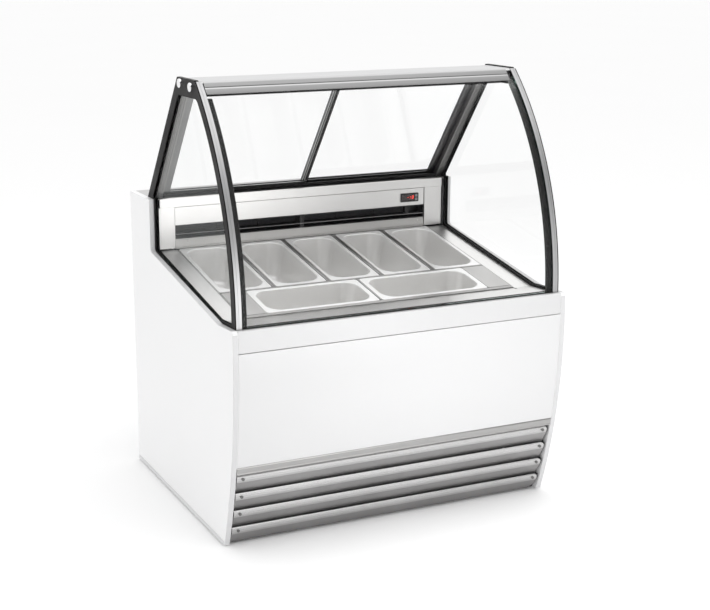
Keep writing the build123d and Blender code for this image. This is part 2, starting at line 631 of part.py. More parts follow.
save(glass_carrier.part, "glass_carrier", "hinge profile of the front glass")

with BuildPart() as front_glass:
    prism(sector(on_arch, ARCH_R - 1.0, ARCH_R - 7.0, 658.6, 1273.6), -497.4, 497.4)
save(front_glass.part, "front_glass", "curved front glass")

# ---------------------------------------------------------------- rear posts, door track and sliding doors
def post(sx):
    a = sorted((sx * 482.2, sx * 504.7))
    prism([door_at_z(420, TOP_Z + 0.2), door_at_z(420, 1255), door_at_z(452, 1276), door_at_z(452, TOP_Z + 0.2)], a[0], a[1])
    for k in (487.5, 493.5, 499.0):
        g = sorted((sx * k, sx * (k + 2)))
        prism([door_pt(418, 750), door_pt(422.5, 750), door_pt(422.5, 1300), door_pt(418, 1300)], g[0], g[1], Mode.SUBTRACT)


with BuildPart() as rear_post_left:
    post(-1)
save(rear_post_left.part, "rear_post_left", "left rear post")
with BuildPart() as rear_post_right:
    post(1)
save(rear_post_right.part, "rear_post_right", "right rear post")

with BuildPart() as door_track_bottom:
    block(-481.9, 481.9, 131.5, 185, TOP_Z + 0.2, 909.6)
    for c0, c1 in ((418.6, 423.2), (434.8, 437.3), (448.7, 451.8)):
        prism([door_at_z(c0, TOP_Z + 0.2), door_at_z(c1, TOP_Z + 0.2), door_at_z(c1, 921), door_at_z(c0, 921)], -481.9, 481.9)
save(door_track_bottom.part, "door_track_bottom", "two-groove door track")


def door_frame(c0, x0, x1, s0, s1, meet_left):
    c1 = c0 + 10.4
    q = lambda a0, a1, b0, b1: [door_pt(a0, b0), door_pt(a1, b0), door_pt(a1, b1), door_pt(a0, b1)]
    prism(q(c0, c1, s0, s1), x0, x1)
    wl, wr = (20, 18) if not meet_left else (18, 20)
    prism(q(c0 - 2, c1 + 2, s0 + 20, s1 - 12), x0 + wl, x1 - wr, Mode.SUBTRACT)
    prism(q(c0 + 3, c0 + 7.4, s0 + 12, s1 - 5), x0 + wl - 8, x1 - wr + 8, Mode.SUBTRACT)


def door_glass(c0, x0, x1, s0, s1, meet_left):
    wl, wr = (20, 18) if not meet_left else (18, 20)
    prism([door_pt(c0 + 3.2, s0 + 12.2), door_pt(c0 + 7.2, s0 + 12.2), door_pt(c0 + 7.2, s1 - 5.2), door_pt(c0 + 3.2, s1 - 5.2)],
          x0 + wl - 7.8, x1 - wr + 7.8)


LEFT_C, RIGHT_C = 423.8, 437.9
L_S0 = (910.6 - LEFT_C * DOOR_N[1]) / DOOR_N[0]
R_S0 = (910.6 - RIGHT_C * DOOR_N[1]) / DOOR_N[0]
HEAD_S = 1259.0
with BuildPart() as door_left_frame:
    door_frame(LEFT_C, -481.2, 3, L_S0, HEAD_S, False)
save(door_left_frame.part, "door_left_frame", "left sliding door frame")
with BuildPart() as door_left_glass:
    door_glass(LEFT_C, -481.2, 3, L_S0, HEAD_S, False)
save(door_left_glass.part, "door_left_glass", "left sliding door glass")
with BuildPart() as door_right_frame:
    door_frame(RIGHT_C, -3, 481.2, R_S0, HEAD_S, True)
save(door_right_frame.part, "door_right_frame", "right sliding door frame")
with BuildPart() as door_right_glass:
    door_glass(RIGHT_C, -3, 481.2, R_S0, HEAD_S, True)
save(door_right_glass.part, "door_right_glass", "right sliding door glass")

# ---------------------------------------------------------------- refrigeration
with BuildPart() as compressor:
    rod_z(-250, 400, 88, 84, 250)
    fillet(compressor.edges().filter_by(GeomType.CIRCLE), 28)
    rod_z(-250, 400, 93, 158, 166)
    block(-350, -150, 320, 480, 76, 84)
    for sx in (-335, -165):
        for d in (335, 465):
            rod_z(sx, d, 11, 70.1, 76)
    block(-290, -210, 305, 330, 130, 200)
save(compressor.part, "compressor", "hermetic compressor")

with BuildPart() as condenser_coil:
    for k in range(13):
        block(60 + 30 * k, 61.5 + 30 * k, 640, 690, 95, 335)
    for x in (54, 426):
        block(x, x + 2, 600, 698, 70.1, 345)
    for k in range(8):
        rod_x(665, 112 + 29 * k, 5, 44, 438)
    block(54, 428, 606, 610, 72, 345)
    rod_y(240, 215, 118, 600, 620, Mode.SUBTRACT)
    block(114, 366, 606, 610, 208, 222)
    rod_y(240, 215, 26, 590, 622)
    rod_y(240, 215, 4, 560, 592)
save(condenser_coil.part, "condenser_coil", "condenser with shroud and fan motor")


def blades(x, z, d0, d1, r, hub, n, bore):
    rod_y(x, z, hub, d0, d1)
    for k in range(n):
        a0 = 2 * math.pi * k / n
        pts = []
        for q, da in ((hub - 3, -0.30), (r, -0.34), (r, 0.10), (hub - 3, 0.22)):
            pts.append((x + q * math.cos(a0 + da), z + q * math.sin(a0 + da)))
        f = face_of([pts[0], pts[1], ((x + r * math.cos(a0 - 0.12), z + r * math.sin(a0 - 0.12)), pts[2]), pts[3]],
                    Plane(origin=(0, REAR - (d0 + d1) / 2 + 1.2, 0), x_dir=(1, 0, 0), z_dir=(0, -1, 0)))
        extrude(f, amount=2.4, dir=(0, -1, 0))
    rod_y(x, z, bore, d0 - 5, d1 + 5, Mode.SUBTRACT)


with BuildPart() as condenser_fan:
    blades(240, 215, 564, 586, 104, 24, 5, 4.05)
save(condenser_fan.part, "condenser_fan", "condenser fan impeller")

with BuildPart() as evaporator_coil:
    for k in range(16):
        block(-390 + 38 * k, -388.5 + 38 * k, 340, 640, 440, 498)
    for k in range(6):
        for z in (456, 482):
            rod_x(365 + 50 * k, z, 5, -405, 195)
    for x in (-398, 186):
        block(x, x + 2, 335, 645, 432.4, 502)
    block(300, 320, 300, 420, 432.4, 436)
    block(300, 320, 380, 384, 436, 500)
    rod_y(310, 480, 24, 340, 380)
    rod_y(310, 480, 3, 312, 340)
save(evaporator_coil.part, "evaporator_coil", "evaporator with fan motor bracket")

with BuildPart() as evaporator_fan:
    blades(310, 480, 316, 334, 42, 14, 5, 3.05)
save(evaporator_fan.part, "evaporator_fan", "evaporator fan impeller")
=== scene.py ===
import bpy
import bmesh
import math
from mathutils import Vector, Matrix


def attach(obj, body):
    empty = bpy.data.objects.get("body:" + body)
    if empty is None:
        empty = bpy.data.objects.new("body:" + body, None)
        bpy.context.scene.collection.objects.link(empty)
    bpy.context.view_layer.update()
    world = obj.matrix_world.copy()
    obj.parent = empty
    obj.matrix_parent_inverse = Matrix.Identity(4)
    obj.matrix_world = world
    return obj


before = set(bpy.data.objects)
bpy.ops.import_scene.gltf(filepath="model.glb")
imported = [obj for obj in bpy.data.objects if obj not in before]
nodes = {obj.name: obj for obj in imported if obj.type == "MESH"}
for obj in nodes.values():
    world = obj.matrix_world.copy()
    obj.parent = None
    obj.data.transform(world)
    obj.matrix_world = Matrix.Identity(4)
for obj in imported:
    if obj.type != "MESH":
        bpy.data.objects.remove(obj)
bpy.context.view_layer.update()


# ------------------------------------------------------------------ material helpers
def new_mat(name):
    m = bpy.data.materials.new(name)
    m.use_nodes = True
    nt = m.node_tree
    for n in list(nt.nodes):
        nt.nodes.remove(n)
    out = nt.nodes.new("ShaderNodeOutputMaterial")
    bsdf = nt.nodes.new("ShaderNodeBsdfPrincipled")
    nt.links.new(bsdf.outputs[0], out.inputs[0])
    return m, nt, bsdf


def coords(nt, scale=(1, 1, 1), rot=(0, 0, 0)):
    tc = nt.nodes.new("ShaderNodeTexCoord")
    mp = nt.nodes.new("ShaderNodeMapping")
    mp.inputs["Scale"].default_value = scale
    mp.inputs["Rotation"].default_value = rot
    nt.links.new(tc.outputs["Object"], mp.inputs["Vector"])
    return mp.outputs["Vector"]


def noise(nt, vec, scale, detail=4.0, rough=0.55, dist=0.0):
    n = nt.nodes.new("ShaderNodeTexNoise")
    n.inputs["Scale"].default_value = scale
    n.inputs["Detail"].default_value = detail
    n.inputs["Roughness"].default_value = rough
    n.inputs["Distortion"].default_value = dist
    nt.links.new(vec, n.inputs["Vector"])
    return n.outputs["Fac"]


def ramp(nt, fac, stops):
    r = nt.nodes.new("ShaderNodeValToRGB")
    el = r.color_ramp.elements
    el[0].position, el[0].color = stops[0][0], (*stops[0][1], 1)
    el[1].position, el[1].color = stops[-1][0], (*stops[-1][1], 1)
    for p, c in stops[1:-1]:
        e = el.new(p)
        e.color = (*c, 1)
    nt.links.new(fac, r.inputs["Fac"])
    return r.outputs["Color"]


def grey(nt, fac, a, b, p0=0.35, p1=0.65):
    return ramp(nt, fac, [(p0, (a, a, a)), (p1, (b, b, b))])


def mix(nt, fac, a, b, mode="MIX"):
    m = nt.nodes.new("ShaderNodeMix")
    m.data_type = "RGBA"
    m.blend_type = mode
    for sock, val in ((m.inputs[0], fac), (m.inputs[6], a), (m.inputs[7], b)):
        if isinstance(val, (int, float)):
            sock.default_value = val
        elif isinstance(val, tuple):
            sock.default_value = (*val, 1)
        else:
            nt.links.new(val, sock)
    return m.outputs[2]


def math_node(nt, op, a, b=0.0, clamp=False):
    m = nt.nodes.new("ShaderNodeMath")
    m.operation = op
    m.use_clamp = clamp
    for k, v in ((0, a), (1, b)):
        if isinstance(v, (int, float)):
            m.inputs[k].default_value = v
        else:
            nt.links.new(v, m.inputs[k])
    return m.outputs[0]


def bump(nt, bsdf, height, strength, dist=0.001, prev=None):
    b = nt.nodes.new("ShaderNodeBump")
    b.inputs["Strength"].default_value = strength
    b.inputs["Distance"].default_value = dist
    nt.links.new(height, b.inputs["Height"])
    if prev is not None:
        nt.links.new(prev, b.inputs["Normal"])
    nt.links.new(b.outputs["Normal"], bsdf.inputs["Normal"])
    return b.outputs["Normal"]


def separate(nt, vec=None):
    if vec is None:
        vec = coords(nt)
    s = nt.nodes.new("ShaderNodeSeparateXYZ")
    nt.links.new(vec, s.inputs[0])
    return s.outputs


def painted(name, col, rough=0.32, peel=0.03, dirt=0.02, coat=0.25):
    """Powder coat: fine orange peel, faint colour drift, rubbed and dusty patches in the gloss."""
    m, nt, b = new_mat(name)
    v = coords(nt)
    drift = noise(nt, v, 1.6, 2, 0.5)
    fine = noise(nt, v, 160, 3, 0.6)
    lo = tuple(c * (1 - dirt) for c in col)
    base = ramp(nt, drift, [(0.0, lo), (1.0, tuple(min(1, c * 1.01) for c in col))])
    base = mix(nt, 0.10, base, ramp(nt, fine, [(0.35, tuple(c * 0.95 for c in col)), (0.65, col)]))
    nt.links.new(base, b.inputs["Base Color"])
    nt.links.new(grey(nt, noise(nt, v, 5, 3, 0.5), rough - 0.03, rough + 0.05, 0.2, 0.8), b.inputs["Roughness"])
    b.inputs["Coat Weight"].default_value = coat
    b.inputs["Coat Roughness"].default_value = 0.18
    b.inputs["Specular IOR Level"].default_value = 0.5
    bump(nt, b, noise(nt, v, 420, 2, 0.5), peel, 0.0004)
    return m


def steel(name, col, rough=0.26, along="x", strength=0.10, spots=0.5, aniso=0.55, metal=1.0, contrast=0.08):
    """Brushed sheet: long drawn grain, cloudy wipe marks and a few duller patches."""
    m, nt, b = new_mat(name)
    sc = {"x": (3.0, 900.0, 900.0), "y": (900.0, 3.0, 900.0), "z": (900.0, 900.0, 3.0), "slope": (900.0, 4.0, 60.0)}[along]
    v = coords(nt)
    g = noise(nt, coords(nt, sc), 1.0, 6, 0.7)
    cloud = noise(nt, v, 6.0, 5, 0.6, 0.6)
    dark = tuple(c * (1 - contrast) for c in col)
    lite = tuple(min(1.0, c * (1 + contrast * 0.6)) for c in col)
    base = ramp(nt, g, [(0.25, dark), (0.5, col), (0.8, lite)])
    base = mix(nt, 0.35, base, ramp(nt, cloud, [(0.3, dark), (0.7, lite)]))
    nt.links.new(base, b.inputs["Base Color"])
    r = mix(nt, 0.5, grey(nt, g, rough - 0.05, rough + 0.08), grey(nt, cloud, rough - 0.06 * spots, rough + 0.12 * spots))
    nt.links.new(r, b.inputs["Roughness"])
    b.inputs["Metallic"].default_value = metal
    b.inputs["Anisotropic"].default_value = aniso
    bump(nt, b, g, strength, 0.0003)
    return m


def plastic(name, col, rough=0.45, grain=0.25, scale=700, spec=0.5, dust=0.04):
    m, nt, b = new_mat(name)
    v = coords(nt)
    n = noise(nt, v, scale, 3, 0.6)
    c = noise(nt, v, 9, 5, 0.6, 0.3)
    lite = tuple(min(1.0, x + dust) for x in col)
    base = mix(nt, 0.5, ramp(nt, c, [(0.35, col), (0.72, lite)]), ramp(nt, n, [(0.3, col), (0.7, tuple(x * 1.25 + 0.002 for x in col))]))
    nt.links.new(base, b.inputs["Base Color"])
    nt.links.new(grey(nt, c, rough - 0.08, rough + 0.1), b.inputs["Roughness"])
    b.inputs["Specular IOR Level"].default_value = spec
    bump(nt, b, n, grain, 0.0003)
    return m


def glass(name, tint, low, high, smear=0.012, side=False):
    """Clear sheet: see-through with a mirror film that grows towards grazing angles, faint wipe marks and green polished edges."""
    m, nt, b = new_mat(name)
    v = coords(nt)
    c = noise(nt, v, 2.0, 2, 0.5, 0.5)
    geo = nt.nodes.new("ShaderNodeNewGeometry")
    vt = nt.nodes.new("ShaderNodeVectorTransform")
    vt.vector_type, vt.convert_from, vt.convert_to = "NORMAL", "WORLD", "OBJECT"
    nt.links.new(geo.outputs["Normal"], vt.inputs[0])
    on = separate(nt, vt.outputs[0])
    across = math_node(nt, "ABSOLUTE", on[0])
    edge = math_node(nt, "MULTIPLY", math_node(nt, "SUBTRACT", 0.5, across) if side else math_node(nt, "SUBTRACT", across, 0.5), 20.0, True)
    if not side:
        edge = math_node(nt, "ADD", edge, math_node(nt, "MULTIPLY", math_node(nt, "SUBTRACT", math_node(nt, "ABSOLUTE", on[2]), 0.92), 20.0, True), True)
    nt.links.new(mix(nt, edge, ramp(nt, c, [(0.3, tint), (0.7, tuple(min(1, t * 1.05) for t in tint))]), (0.15, 0.24, 0.21)), b.inputs["Base Color"])
    b.inputs["Metallic"].default_value = 1.0
    nt.links.new(grey(nt, noise(nt, v, 3.0, 2, 0.5, 0.3), 0.04, 0.07), b.inputs["Roughness"])
    fr = nt.nodes.new("ShaderNodeFresnel")
    fr.inputs["IOR"].default_value = 1.38
    a = math_node(nt, "MULTIPLY", fr.outputs[0], high)
    a = math_node(nt, "ADD", a, low)
    sm = math_node(nt, "MULTIPLY", grey(nt, noise(nt, coords(nt, (2, 2, 9)), 2.0, 6, 0.7, 1.5), 0.0, 1.0, 0.52, 0.8), smear)
    a = math_node(nt, "ADD", a, sm, True)
    a = math_node(nt, "ADD", a, math_node(nt, "MULTIPLY", edge, 0.6), True)
    nt.links.new(a, b.inputs["Alpha"])
    return m


M = {}
M["white"] = painted("powder_coat_white", (0.86, 0.86, 0.863), 0.34, coat=0.15)
# front panel: a darker copy of the white powder coat, painted shade that offsets the stronger light falling on the
# front
M["white_front"] = painted("powder_coat_front_painted_shade", (0.72, 0.72, 0.723), 0.30, coat=0.25)
M["edge_grey"] = painted("edge_band_grey", (0.66, 0.66, 0.665), 0.35)
M["grey"] = painted("coated_sheet_grey", (0.52, 0.53, 0.55), 0.42, dirt=0.1)
M["stainless"] = steel("stainless_brushed_x", (0.55, 0.545, 0.537), 0.31, "x", strength=0.03, spots=0.2, contrast=0.03)
M["stainless_z"] = steel("stainless_brushed_z", (0.55, 0.545, 0.537), 0.31, "z", strength=0.03, spots=0.2, contrast=0.03)
M["pan"] = steel("pan_steel", (0.80, 0.795, 0.785), 0.25, "x", strength=0.015, spots=0.35, aniso=0.2, contrast=0.03)
M["alu"] = steel("anodised_aluminium", (0.34, 0.34, 0.343), 0.36, "x", strength=0.04, contrast=0.04)
M["alu_arch"] = steel("anodised_aluminium_arch", (0.47, 0.47, 0.473), 0.40, "slope", strength=0.02, spots=0.2, contrast=0.03, aniso=0.0)
# right rear post: a much darker copy of the post aluminium, painted shade for the side turned away from the light
M["alu_post"] = steel("anodised_aluminium_post", (0.20, 0.197, 0.194), 0.44, "slope", strength=0.02, spots=0.2, contrast=0.04, aniso=0.0)
M["chrome"] = steel("chrome_cap", (0.86, 0.86, 0.87), 0.09, "x", strength=0.01, contrast=0.03, aniso=0.0)
M["black_gloss"] = plastic("black_border_gloss", (0.0085, 0.008, 0.008), 0.36, 0.02, 300, 0.06, 0.002)
M["black_matt"] = plastic("black_moulded", (0.018, 0.0175, 0.018), 0.48, 0.3, 800, 0.4, 0.012)
M["black_steel"] = painted("black_powder_coat", (0.022, 0.022, 0.024), 0.5, 0.15, 0.3, 0.05)
# front fascia: a darker copy of the white powder coat, painted shade
M["white_fascia_painted_shade"] = painted("powder_coat_fascia_painted_shade", (0.665, 0.665, 0.668), 0.32, coat=0.2)
# left rear post: the lighter copy of the same post aluminium; the difference between the two posts is painted light
# and shade
M["alu_post_left"] = steel("anodised_aluminium_post_left", (0.42, 0.417, 0.414), 0.38, "slope", strength=0.02, spots=0.2, contrast=0.05, aniso=0.0)
M["rubber"] = plastic("rubber_seal", (0.016, 0.0155, 0.0155), 0.62, 0.4, 1200, 0.35, 0.010)
M["foam"] = plastic("foam_skin", (0.050, 0.050, 0.052), 0.75, 0.5, 90, 0.3, 0.02)
M["key"] = plastic("key_grey", (0.20, 0.20, 0.21), 0.42, 0.3, 1500, 0.4, 0.02)
M["glass"] = glass("clear_glass", (0.90, 0.93, 0.92), 0.0, 0.07, 0.001)
M["glass_side"] = glass("clear_glass_side", (0.88, 0.92, 0.91), 0.0, 0.07, 0.001, side=True)
M["copper"] = steel("copper_tube", (0.72, 0.36, 0.22), 0.25, "x", 0.02, contrast=0.15, aniso=0)


def louvre_steel():
    """Folded slat: bright drawn steel on the convex upper part; painted shade on the turned-in lower part, which gets
    a darker colour and a rougher gloss.
    """
    m, nt, b = new_mat("louvre_slat")
    v = coords(nt)
    g = noise(nt, coords(nt, (3.0, 900.0, 900.0)), 1.0, 6, 0.7)
    cloud = noise(nt, v, 5.0, 5, 0.6, 0.5)
    geo = nt.nodes.new("ShaderNodeNewGeometry")
    sn = separate(nt, geo.outputs["Normal"])
    # painted shade: faces that look downwards get a darker colour and a rougher gloss
    down = math_node(nt, "MULTIPLY", math_node(nt, "ADD", sn[2], 0.20), -2.6, True)
    base = ramp(nt, g, [(0.25, (0.50, 0.496, 0.494)), (0.5, (0.55, 0.546, 0.544)), (0.8, (0.61, 0.606, 0.604))])
    base = mix(nt, 0.3, base, ramp(nt, cloud, [(0.3, (0.50, 0.496, 0.494)), (0.7, (0.59, 0.586, 0.584))]))
    painted_shade_col = ramp(nt, cloud, [(0.3, (0.27, 0.265, 0.265)), (0.7, (0.33, 0.325, 0.325))])
    nt.links.new(mix(nt, down, base, painted_shade_col), b.inputs["Base Color"])
    nt.links.new(mix(nt, down, grey(nt, g, 0.22, 0.34), grey(nt, cloud, 0.38, 0.5)), b.inputs["Roughness"])
    b.inputs["Metallic"].default_value = 0.8
    b.inputs["Anisotropic"].default_value = 0.3
    bump(nt, b, g, 0.08, 0.0003)
    return m


M["louvre"] = louvre_steel()


def display():
    """Smoked window with a faint smear."""
    m, nt, b = new_mat("display_window")
    v = coords(nt)
    c = noise(nt, v, 60, 5, 0.6, 0.6)
    nt.links.new(ramp(nt, c, [(0.3, (0.010, 0.005, 0.005)), (0.7, (0.018, 0.008, 0.008))]), b.inputs["Base Color"])
    nt.links.new(grey(nt, c, 0.06, 0.14), b.inputs["Roughness"])
    b.inputs["Coat Weight"].default_value = 0.2
    return m


def lamp_red():
    m, nt, b = new_mat("display_segments")
    v = coords(nt)
    c = noise(nt, v, 900, 3, 0.5)
    nt.links.new(ramp(nt, c, [(0.3, (0.75, 0.02, 0.015)), (0.7, (0.95, 0.05, 0.03))]), b.inputs["Base Color"])
    b.inputs["Emission Color"].default_value = (1.0, 0.05, 0.03, 1)
    b.inputs["Emission Strength"].default_value = 1.3
    nt.links.new(grey(nt, c, 0.3, 0.4), b.inputs["Roughness"])
    return m




def carrier():
    """Hinge profile: grey anodised bands along its drawn face with a black gasket at the foot; the bright lip line and
    the lighter top band are painted highlights.
    """
    m, nt, b = new_mat("hinge_profile_painted_light")
    v = coords(nt)
    g = noise(nt, coords(nt, (3.0, 900.0, 900.0)), 1.0, 6, 0.7)
    z = separate(nt, v)[2]
    t = math_node(nt, "MULTIPLY", math_node(nt, "SUBTRACT", z, 1.2570), 25.0, True)     # 0 at 1257, 1 at 1297
    r = nt.nodes.new("ShaderNodeValToRGB")
    r.color_ramp.interpolation = "LINEAR"
    el = r.color_ramp.elements
    # bands from the foot up: black gasket, grey band, painted highlight line for a lip, grey band, lighter top band of
    # painted light
    stops = [(0.0, 0.012), (0.14, 0.012), (0.18, 0.17), (0.50, 0.24), (0.53, 0.46), (0.58, 0.46), (0.61, 0.22), (0.88, 0.26), (0.94, 0.42), (1.0, 0.48)]
    el[0].position, el[0].color = stops[0][0], (stops[0][1],) * 3 + (1,)
    el[1].position, el[1].color = stops[-1][0], (stops[-1][1],) * 3 + (1,)
    for p, c in stops[1:-1]:
        e = el.new(p)
        e.color = (c, c, c, 1)
    nt.links.new(t, r.inputs["Fac"])
    base = mix(nt, 0.12, r.outputs["Color"], grey(nt, g, 0.2, 0.7))
    nt.links.new(base, b.inputs["Base Color"])
    met = math_node(nt, "MULTIPLY", math_node(nt, "SUBTRACT", t, 0.13), 60.0, True)
    nt.links.new(met, b.inputs["Metallic"])
    nt.links.new(grey(nt, g, 0.30, 0.42), b.inputs["Roughness"])
    bump(nt, b, g, 0.04, 0.0003)
    return m


def pan_metal():
    """Pressed pan: satin drawn well with faint scrub marks, and a painted highlight on the rolled rim, which gets a
    lighter, less metallic finish.
    """
    m, nt, b = new_mat("pan_pressed_steel")
    v = coords(nt)
    th = math.atan(0.174)
    y = math_node(nt, "MULTIPLY", math_node(nt, "SUBTRACT", separate(nt, v)[1], 0.2484), -math.sin(th))
    z = math_node(nt, "MULTIPLY", math_node(nt, "SUBTRACT", separate(nt, v)[2], 0.7452), math.cos(th))
    h = math_node(nt, "ADD", y, z)                        # height above the rim plane
    # painted highlight: faces at the rim plane get a lighter colour and less metallic gloss
    rim = math_node(nt, "MULTIPLY", math_node(nt, "ADD", h, 0.0045), 500.0, True)
    cloud = noise(nt, v, 7, 3, 0.5)
    scrub = noise(nt, coords(nt, (40, 300, 40)), 1.0, 3, 0.5)
    well = ramp(nt, cloud, [(0.2, (0.90, 0.895, 0.885)), (0.8, (0.94, 0.935, 0.925))])
    well = mix(nt, 0.10, well, grey(nt, scrub, 0.82, 0.94))
    # lighter colour of the painted rim highlight
    lip = ramp(nt, cloud, [(0.2, (0.95, 0.95, 0.945)), (0.8, (0.98, 0.98, 0.975))])
    nt.links.new(mix(nt, rim, well, lip), b.inputs["Base Color"])
    nt.links.new(mix(nt, rim, grey(nt, scrub, 0.29, 0.35), (0.32, 0.32, 0.32)), b.inputs["Roughness"])
    nt.links.new(math_node(nt, "SUBTRACT", 0.76, math_node(nt, "MULTIPLY", rim, 0.31)), b.inputs["Metallic"])
    bump(nt, b, scrub, 0.004, 0.0002)
    return m


M["carrier"] = carrier()
M["pan"] = pan_metal()
M["steel_deck"] = steel("stainless_deck", (0.88, 0.875, 0.865), 0.32, "x", strength=0.03, spots=0.3, contrast=0.04, metal=0.95)
M["alu_door"] = steel("anodised_aluminium_door", (0.34, 0.34, 0.342), 0.38, "slope", strength=0.02, contrast=0.05, aniso=0.0)
M["steel_dark"] = steel("stainless_shaded", (0.46, 0.455, 0.45), 0.32, "x", strength=0.05, contrast=0.05)
M["screw"] = steel("screw_zinc", (0.17, 0.168, 0.165), 0.30, "x", strength=0.02, contrast=0.10, aniso=0.0)
# right door frame: a much darker copy of the door aluminium, painted shade
M["alu_door_right_painted_shade"] = steel("anodised_aluminium_door_right_painted_shade", (0.12, 0.12, 0.121), 0.36, "slope", strength=0.02, contrast=0.05, aniso=0.0)
M["steel_trim"] = steel("stainless_trim", (0.42, 0.415, 0.41), 0.33, "x", strength=0.03, contrast=0.04)
# air ramp: a darker copy of the stainless steel, painted shade standing in for the dark reflection on the steep lip
M["steel_ramp_painted_shade"] = steel("stainless_lip_painted_shade", (0.36, 0.355, 0.345), 0.34, "x", strength=0.05, contrast=0.05)
M["alu_light"] = steel("anodised_aluminium_top", (0.62, 0.62, 0.623), 0.38, "x", strength=0.03, contrast=0.03)
M["display"] = display()
M["red"] = lamp_red()

ASSIGN = {
    "side_panel_left": "white", "side_panel_right": "white", "rear_service_panel": "grey",
    "front_fascia": "white_fascia_painted_shade", "front_panel": "white_front", "trim_strip": "steel_trim",
    "louvre_carrier": "black_steel", "louvre_screws": "screw", "base_frame": "black_steel", "levelling_feet": "black_matt",
    "tub_insulation": "foam", "tub_liner": "stainless", "deck_frame": "steel_deck", "pan_support": "steel_dark",
    "filler_left": "stainless", "filler_right": "stainless", "worktop": "stainless", "rear_fascia": "stainless",
    # the air outlet moulding is black partly as its own colour and partly as painted shade filling the slot
    "column_left": "stainless_z", "column_right": "stainless_z", "air_outlet": "black_matt", "air_ramp": "steel_ramp_painted_shade",
    "controller_bezel": "black_matt", "controller_display": "display", "controller_key_1": "key", "controller_key_2": "key",
    "side_frame_left": "black_gloss", "side_frame_right": "black_gloss",
    "side_glass_left": "glass_side", "side_glass_right": "glass_side", "arch_left": "alu_arch", "arch_right": "alu_arch",
    "front_glass_seal": "rubber", "top_rail": "alu_light", "cap_screws": "chrome", "glass_carrier": "carrier", "front_glass": "glass",
    "rear_post_left": "alu_post_left", "rear_post_right": "alu_post", "door_track_bottom": "black_matt",
    "door_left_frame": "alu_door", "door_right_frame": "alu_door_right_painted_shade", "door_left_glass": "glass", "door_right_glass": "glass",
    "compressor": "black_steel", "condenser_coil": "alu", "condenser_fan": "black_matt", "evaporator_coil": "alu",
    "evaporator_fan": "black_matt",
}
for k in range(1, 5):
    ASSIGN["louvre_%d" % k] = "louvre"
for k in range(1, 8):
    ASSIGN["pan_%d" % k] = "pan"
for name, obj in nodes.items():
    mt = M[ASSIGN[name]]
    obj.data.materials.clear()
    obj.data.materials.append(mt)


# ------------------------------------------------------------------ geometry helpers
REAR = 0.440


def P(x, d, z):
    """Millimetres, depth forward of the rear plane, to the frame."""
    return Vector((x / 1000.0, REAR - d / 1000.0, z / 1000.0))


def on_front(r, z):
    return -820.0 + math.sqrt(r * r - (z - 560.0) ** 2)


def on_arch(r, z):
    return -35.0 + math.sqrt(r * r - (z - 652.0) ** 2)


def mesh_obj(name, verts, faces, mat, body="cabinet", smooth=False, bevel=0.0, seg=2):
    me = bpy.data.meshes.new(name)
    me.from_pydata([tuple(v) for v in verts], [], faces)
    bm = bmesh.new()
    bm.from_mesh(me)
    bmesh.ops.remove_doubles(bm, verts=bm.verts, dist=1e-7)
    bmesh.ops.recalc_face_normals(bm, faces=bm.faces)
    bm.to_mesh(me)
    bm.free()
    ob = bpy.data.objects.new(name, me)
    bpy.context.scene.collection.objects.link(ob)
    me.materials.append(M[mat])
    if smooth:
        for p in me.polygons:
            p.use_smooth = True
    if bevel:
        md = ob.modifiers.new("bevel", "BEVEL")
        md.width = bevel
        md.segments = seg
        md.limit_method = "ANGLE"
        md.angle_limit = math.radians(40)
    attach(ob, body)
    return ob


def strip(name, profile, x0, x1, mat, body="cabinet", bevel=0.0, smooth=False):
    """Closed side profile of (depth, height) points run from x0 to x1."""
    n = len(profile)
    verts = [P(x0, d, z) for d, z in profile] + [P(x1, d, z) for d, z in profile]
    faces = [tuple(range(n)), tuple(range(2 * n - 1, n - 1, -1))]
    faces += [(i, (i + 1) % n, n + (i + 1) % n, n + i) for i in range(n)]
    return mesh_obj(name, verts, faces, mat, body, smooth, bevel)


def band(name, path_out, path_in, x0, x1, mat, body="cabinet", bevel=0.0):
    """Thin band between two paths of equal length (depth, height), from x0 to x1."""
    n = len(path_out)
    verts = []
    for x in (x0, x1):
        verts += [P(x, d, z) for d, z in path_out] + [P(x, d, z) for d, z in path_in]
    faces = []
    for i in range(n - 1):
        a, b_, c, d = i, i + 1, n + i + 1, n + i
        faces.append((a, b_, c, d))
        faces.append((2 * n + a, 2 * n + d, 2 * n + c, 2 * n + b_))
        faces.append((a, 2 * n + a, 2 * n + b_, b_))
        faces.append((d, c, 2 * n + c, 2 * n + d))
    faces.append((0, n, 3 * n, 2 * n))
    faces.append((n - 1, 3 * n - 1, 4 * n - 1, 2 * n - 1))
    return mesh_obj(name, verts, faces, mat, body, False, bevel)


def lathe(name, prof, centre, axis, mat, body="cabinet", seg=40):
    """Turned piece: profile of (radius, height along axis) points, millimetres."""
    axis = Vector(axis).normalized()
    u = axis.orthogonal().normalized()
    w = axis.cross(u)
    verts, faces = [], []
    n = len(prof)
    for s in range(seg):
        a = 2 * math.pi * s / seg
        dr = u * math.cos(a) + w * math.sin(a)
        for r, h in prof:
            verts.append(centre + dr * (r / 1000.0) + axis * (h / 1000.0))
    for s in range(seg):
        t = (s + 1) % seg
        for i in range(n - 1):
            faces.append((s * n + i, s * n + i + 1, t * n + i + 1, t * n + i))
    return mesh_obj(name, verts, faces, mat, body, True, 0)


# ------------------------------------------------------------------ edge bands of the side panels
def arc_path(fn, r, z0, z1, n=36):
    return [(fn(r, z0 + (z1 - z0) * i / n), z0 + (z1 - z0) * i / n) for i in range(n + 1)]


